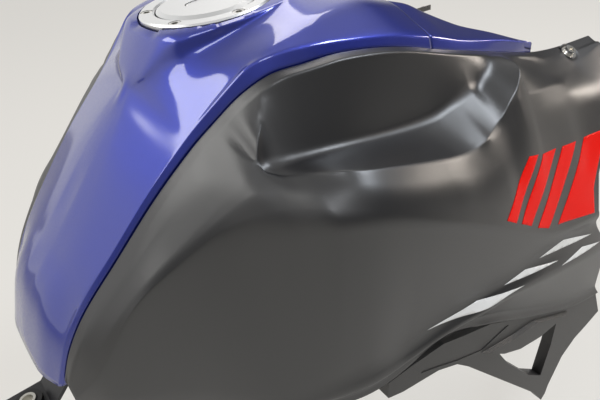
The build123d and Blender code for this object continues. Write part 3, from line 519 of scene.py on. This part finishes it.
def tail_drop(point):
    """Height above the arc that cuts the cover's rear edge in the front view."""
    return point.z - TAIL_Z - (TAIL_SIDE_Z - TAIL_Z) * (point.y / TAIL_HALF) ** 2


def tail_start(k):
    """The x at which the cover's length-wise curve number k leaves the rear edge."""
    return drop_to(lambda x: cover_section(x)[k], tail_drop, *TAIL_REACH)


def filler_offset(point):
    """A point's offset from the filler's centre: its length along the axis, and the part across."""
    offset = point - FILLER * MM
    height = offset.dot(FILLER_AXIS)
    return height, offset - height * FILLER_AXIS


def cut_well(made):
    """Cut the round hole for the filler ring, and draw its rim down into a well with a floor."""
    near = [v for v in made.verts if filler_offset(v.co)[1].length < (WELL_R + WELL_SPARE) * MM]
    bmesh.ops.delete(made, geom=near, context="VERTS")
    rim = [e for e in made.edges if e.is_boundary
           and filler_offset(e.verts[0].co)[1].length < (WELL_R + WELL_RIM_REACH) * MM]
    for vert in {v for e in rim for v in e.verts}:
        height, across = filler_offset(vert.co)
        vert.co = FILLER * MM + height * FILLER_AXIS + across.normalized() * WELL_R * MM
    walls = bmesh.ops.extrude_edge_only(made, edges=rim)["geom"]
    for vert in [v for v in walls if isinstance(v, bmesh.types.BMVert)]:
        across = filler_offset(vert.co)[1]
        vert.co = FILLER * MM - WELL_DEPTH * MM * FILLER_AXIS + across
    foot = [e for e in walls if isinstance(e, bmesh.types.BMEdge)]
    floor = bmesh.ops.extrude_edge_only(made, edges=foot)["geom"]
    for vert in [v for v in floor if isinstance(v, bmesh.types.BMVert)]:
        across = filler_offset(vert.co)[1]
        vert.co -= across.normalized() * (WELL_R - WELL_LIP_R) * MM


columns = len(cover_section(COVER_FRONT))
cover_starts = [tail_start(k) for k in range(columns)]
cover = trimmed_sheet(cover_section, cover_starts, [COVER_FRONT] * columns, COVER_ROWS, COVER_EVEN)
cut_well(cover)
face_upward(cover)
shell = finished(cover, "cover_shell", blue_paint, COVER_WALL)
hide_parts("centre_cover")

# Cover arms
ARM_SOFTNESS = (0, 0.25, 0.3, 0.25, 0)
ARM_ROWS = 70
ARM_EVEN = (360, 480)
TIP_REACH = 0.1


def arm_section(x):
    """Points of the right arm's outer face at x, from its inner edge to the seam."""
    seam_w, seam_z = eased(SEAM, x)
    inner_w, inner_z = eased(ARM_INNER, x)
    strip_w, strip_z = eased(STRIP, x)
    corners = [(inner_w, inner_z - RETURN_DEPTH), (inner_w, inner_z), (strip_w, strip_z),
               (seam_w - SEAM_GAP / 2, seam_z), (seam_w - SEAM_GAP / 2, seam_z - RETURN_DEPTH)]
    return [Vector((x, -p.x, p.y)) for p in spread(corners, ARM_SOFTNESS)]


columns = len(arm_section(ARM_TIP))
arm_starts = [COVER_FRONT + JOINT_GAP] * columns
arm = trimmed_sheet(arm_section, arm_starts, [ARM_TIP] * columns, ARM_ROWS, ARM_EVEN)
tip = [e for e in arm.edges
       if e.is_boundary and min(v.co.x for v in e.verts) > (ARM_TIP - TIP_REACH) * MM]
bmesh.ops.contextual_create(arm, geom=tip)
face_upward(arm)
left_arm = mirrored(arm)
for piece, side in ((arm, "right"), (left_arm, "left")):
    shell = finished(piece, "arm_shell_" + side, blue_paint, ARM_WALL)
    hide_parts("cover_arm_" + side)

# Coloured films laid on the panel. Columns of an outline: x, z in the side view
RED_STRIPES = {"film_narrow": [(334, 113), (347, 104), (400, 134), (385, 139)],
               "film_middle": [(355, 99), (370, 89), (436, 123), (409, 130)],
               "film_broad": [(380, 82), (398, 72), (479, 111), (449, 119)],
               "film_front": [(414, 67), (481, 45), (492, 63), (522, 82), (545, 97), (499, 106)]}
WHITE_SLASHES = {"slash_rear": [(268, 33), (300, 31), (372, 25), (318, 37)],
                 "slash_middle": [(350, 35), (384, 29), (424, 22), (378, 36)],
                 "slash_front": [(398, 37), (440, 28), (486, 17), (434, 38)],
                 "slash_low": [(428, 15), (462, 8), (503, 0), (466, 14)]}
FILM_STEP = 2.5
FILM_PROUD = 0.2
FILM_START_Y = -0.4


def film(name, outline, material):
    """A thin film cut to an outline in the side view and laid on the right panel's outer face."""
    made = bmesh.new()
    corners = [made.verts.new((x * MM, 0, z * MM)) for x, z in outline]
    rim = [made.edges.new(pair) for pair in zip(corners, corners[1:] + corners[:1])]
    bmesh.ops.edgeloop_fill(made, edges=rim)
    for axis in (0, 2):
        low = min(point[axis // 2] for point in outline)
        high = max(point[axis // 2] for point in outline)
        for k in range(1, int((high - low) / FILM_STEP) + 1):
            cut = Vector((0, 0, 0))
            cut[axis] = 1
            place = (low + k * FILM_STEP) * MM * cut
            everything = made.verts[:] + made.edges[:] + made.faces[:]
            bmesh.ops.bisect_plane(made, geom=everything, plane_co=place, plane_no=cut)
    for vert in made.verts:
        start = Vector((vert.co.x, FILM_START_Y, vert.co.z))
        hit, normal = panel_surface.ray_cast(start, Vector((0, 1, 0)))[:2]
        vert.co = hit + normal * FILM_PROUD * MM
    bmesh.ops.recalc_face_normals(made, faces=made.faces)
    if sum(face.normal.y for face in made.faces) > 0:
        bmesh.ops.reverse_faces(made, faces=made.faces)
    other = mirrored(made)
    finished(made, name + "_right", material, FILM_PROUD)
    finished(other, name + "_left", material, FILM_PROUD)


for name, outline in RED_STRIPES.items():
    film(name, outline, red_film)
for name, outline in WHITE_SLASHES.items():
    film(name, outline, white_film)

# Softer edges on the solids that show
EDGE_RADII = {"lower_trim_right": 0.9, "lower_trim_left": 0.9, "filler_ring": 0.4, "filler_lid": 0.3,
              "key_cover": 0.3, "fuel_tank": 1.5, "rear_bracket": 0.6, "front_lugs": 0.6,
              "panel_stay_right": 0.6, "panel_stay_left": 0.6, "panel_bolts": 0.3}
EDGE_SEGMENTS = 2
EDGE_ANGLE = radians(35)
for name, radius in EDGE_RADII.items():
    edge = frame["nodes"][name].modifiers.new("edges", "BEVEL")
    edge.width = radius * MM
    edge.segments = EDGE_SEGMENTS
    edge.limit_method = "ANGLE"
    edge.angle_limit = EDGE_ANGLE

# Floor: lit for the part's shadow, and in the picture mostly its own pale colour
FLOOR_DROP = 0.05
FLOOR_REACH = 6
FLOOR_X = 0.3
FLOOR_PALE_SHARE = 0.6
floor_mesh = bmesh.new()
bmesh.ops.create_grid(floor_mesh, x_segments=1, y_segments=1, size=FLOOR_REACH)
mesh = bpy.data.meshes.new("floor")
floor_mesh.to_mesh(mesh)
floor_mesh.free()
floor = bpy.data.objects.new("floor", mesh)
floor.location = (FLOOR_X, 0, cad_box[0].z - FLOOR_DROP)
bpy.context.scene.collection.objects.link(floor)
floor_paint = principled("floor_paint", (0.74, 0.72, 0.68), 0, 0.8)
nodes = floor_paint.node_tree.nodes
links = floor_paint.node_tree.links
pale = nodes.new("ShaderNodeEmission")
pale.inputs["Color"].default_value = (0.86, 0.84, 0.80, 1)
rays = nodes.new("ShaderNodeLightPath")
pale_share = nodes.new("ShaderNodeMath")
pale_share.operation = "MULTIPLY"
pale_share.inputs[1].default_value = FLOOR_PALE_SHARE
links.new(rays.outputs["Is Camera Ray"], pale_share.inputs[0])
blend = nodes.new("ShaderNodeMixShader")
links.new(pale_share.outputs["Value"], blend.inputs["Fac"])
links.new(shader_of(floor_paint).outputs["BSDF"], blend.inputs[1])
links.new(pale.outputs["Emission"], blend.inputs[2])
links.new(blend.outputs["Shader"], nodes["Material Output"].inputs["Surface"])
mesh.materials.append(floor_paint)

# Room: its strength as the camera, the lit surfaces, and reflections see it
CAMERA_STRENGTH = 0.93
LIGHT_STRENGTH = 0.5
CEILING_STRENGTH = 0.6
WALL_STRENGTH = 1.0
RIGHT_STRENGTH = 0.25
FRONT_STRENGTH = 0.10
FRONT_RIGHT = (0.95, -0.30, 0)
world = bpy.data.worlds.new("studio")
bpy.context.scene.world = world
world.use_nodes = True
nodes = world.node_tree.nodes
links = world.node_tree.links
back = nodes["Background"]
back.inputs["Color"].default_value = (0.86, 0.85, 0.83, 1)
path = nodes.new("ShaderNodeLightPath")
direction = nodes.new("ShaderNodeTexCoord")
axes = nodes.new("ShaderNodeSeparateXYZ")
links.new(direction.outputs["Generated"], axes.inputs["Vector"])


def ramp(source, start, end, low, high):
    """A smooth change from low to high as the source goes from start to end."""
    change = nodes.new("ShaderNodeMapRange")
    change.interpolation_type = "SMOOTHSTEP"
    for socket, value in zip(("From Min", "From Max", "To Min", "To Max"), (start, end, low, high)):
        change.inputs[socket].default_value = value
    links.new(source, change.inputs["Value"])
    return change.outputs["Result"]


def choose(factor, no, yes):
    """A mix of two strengths, each a number or a socket."""
    mix = nodes.new("ShaderNodeMix")
    mix.data_type = "FLOAT"
    links.new(factor, mix.inputs["Factor"])
    for name, value in (("A", no), ("B", yes)):
        if isinstance(value, float):
            mix.inputs[name].default_value = value
        else:
            links.new(value, mix.inputs[name])
    return mix.outputs["Result"]


# Reflections see pale walls and a ceiling, dimmer on the right and dark low on the right front
facing = nodes.new("ShaderNodeVectorMath")
facing.operation = "DOT_PRODUCT"
facing.inputs[1].default_value = FRONT_RIGHT
links.new(direction.outputs["Generated"], facing.inputs[0])
walls = ramp(axes.outputs["Y"], -0.55, -0.05, RIGHT_STRENGTH, WALL_STRENGTH)
sides = choose(ramp(facing.outputs["Value"], 0.40, 0.70, 0.0, 1.0), walls, FRONT_STRENGTH)
room = choose(ramp(axes.outputs["Z"], 0.35, 0.70, 0.0, 1.0), sides, CEILING_STRENGTH)
around = choose(path.outputs["Is Glossy Ray"], LIGHT_STRENGTH, room)
links.new(choose(path.outputs["Is Camera Ray"], around, CAMERA_STRENGTH), back.inputs["Strength"])

# Lamps. Columns: azimuth from forward towards the left, elevation, distance, width, height,
# brightness, colour
LAMPS_AIM = Vector((0.30, -0.08, 0.16))
LAMPS = {"left_high": (156, 43, 2.2, 2.0, 0.55, 4.2, (1, 0.99, 0.96)),
         "right_high": (-36, 49, 2.0, 0.8, 0.4, 15.0, (0.86, 0.92, 1)),
         "front_high": (52, 45, 2.2, 0.9, 0.6, 3.4, (1, 0.96, 0.92)),
         "front_cream": (-17, 11, 2.2, 0.45, 0.34, 18.0, (1, 0.90, 0.80)),
         "behind": (-120, 48, 2.0, 0.7, 0.5, 4.5, (0.92, 0.95, 1))}


def softbox(name, azimuth, elevation, distance, width, height, brightness, color):
    """A rectangular lamp in a given direction from the part, facing it, not itself in the picture."""
    lamp = bpy.data.lights.new(name, "AREA")
    lamp.shape = "RECTANGLE"
    lamp.size = width
    lamp.size_y = height
    lamp.energy = brightness * pi * width * height
    lamp.color = color
    turn = radians(azimuth)
    rise = radians(elevation)
    towards = Vector((cos(rise) * cos(turn), cos(rise) * sin(turn), sin(rise)))
    lamp_object = bpy.data.objects.new(name, lamp)
    lamp_object.location = LAMPS_AIM + distance * towards
    lamp_object.visible_camera = False
    lamp_object.rotation_euler = (-towards).to_track_quat("-Z", "Y").to_euler()
    bpy.context.scene.collection.objects.link(lamp_object)


for name, values in LAMPS.items():
    softbox(name, *values)

# Camera, at the photograph's place and angle
CAMERA_PLACE = Vector((0.030, -0.368, 0.367))
HEADING = radians(54.8)
PITCH = radians(34.5)
ROLL = radians(-6.2)
LENS = 32.46
NEAR_LIMIT = 0.01
ahead = Vector((cos(HEADING) * cos(PITCH), sin(HEADING) * cos(PITCH), -sin(PITCH)))
level = Vector((sin(HEADING), -cos(HEADING), 0))
upward = level.cross(ahead)
side = cos(ROLL) * level + sin(ROLL) * upward
top = -sin(ROLL) * level + cos(ROLL) * upward
lens = bpy.data.cameras.new("camera")
lens.lens = LENS
lens.clip_start = NEAR_LIMIT
camera = bpy.data.objects.new("camera", lens)
camera.matrix_world = Matrix((
    (side.x, top.x, -ahead.x, CAMERA_PLACE.x),
    (side.y, top.y, -ahead.y, CAMERA_PLACE.y),
    (side.z, top.z, -ahead.z, CAMERA_PLACE.z),
    (0, 0, 0, 1)))
bpy.context.scene.collection.objects.link(camera)
bpy.context.scene.camera = camera
bpy.context.scene.view_settings.view_transform = "Standard"
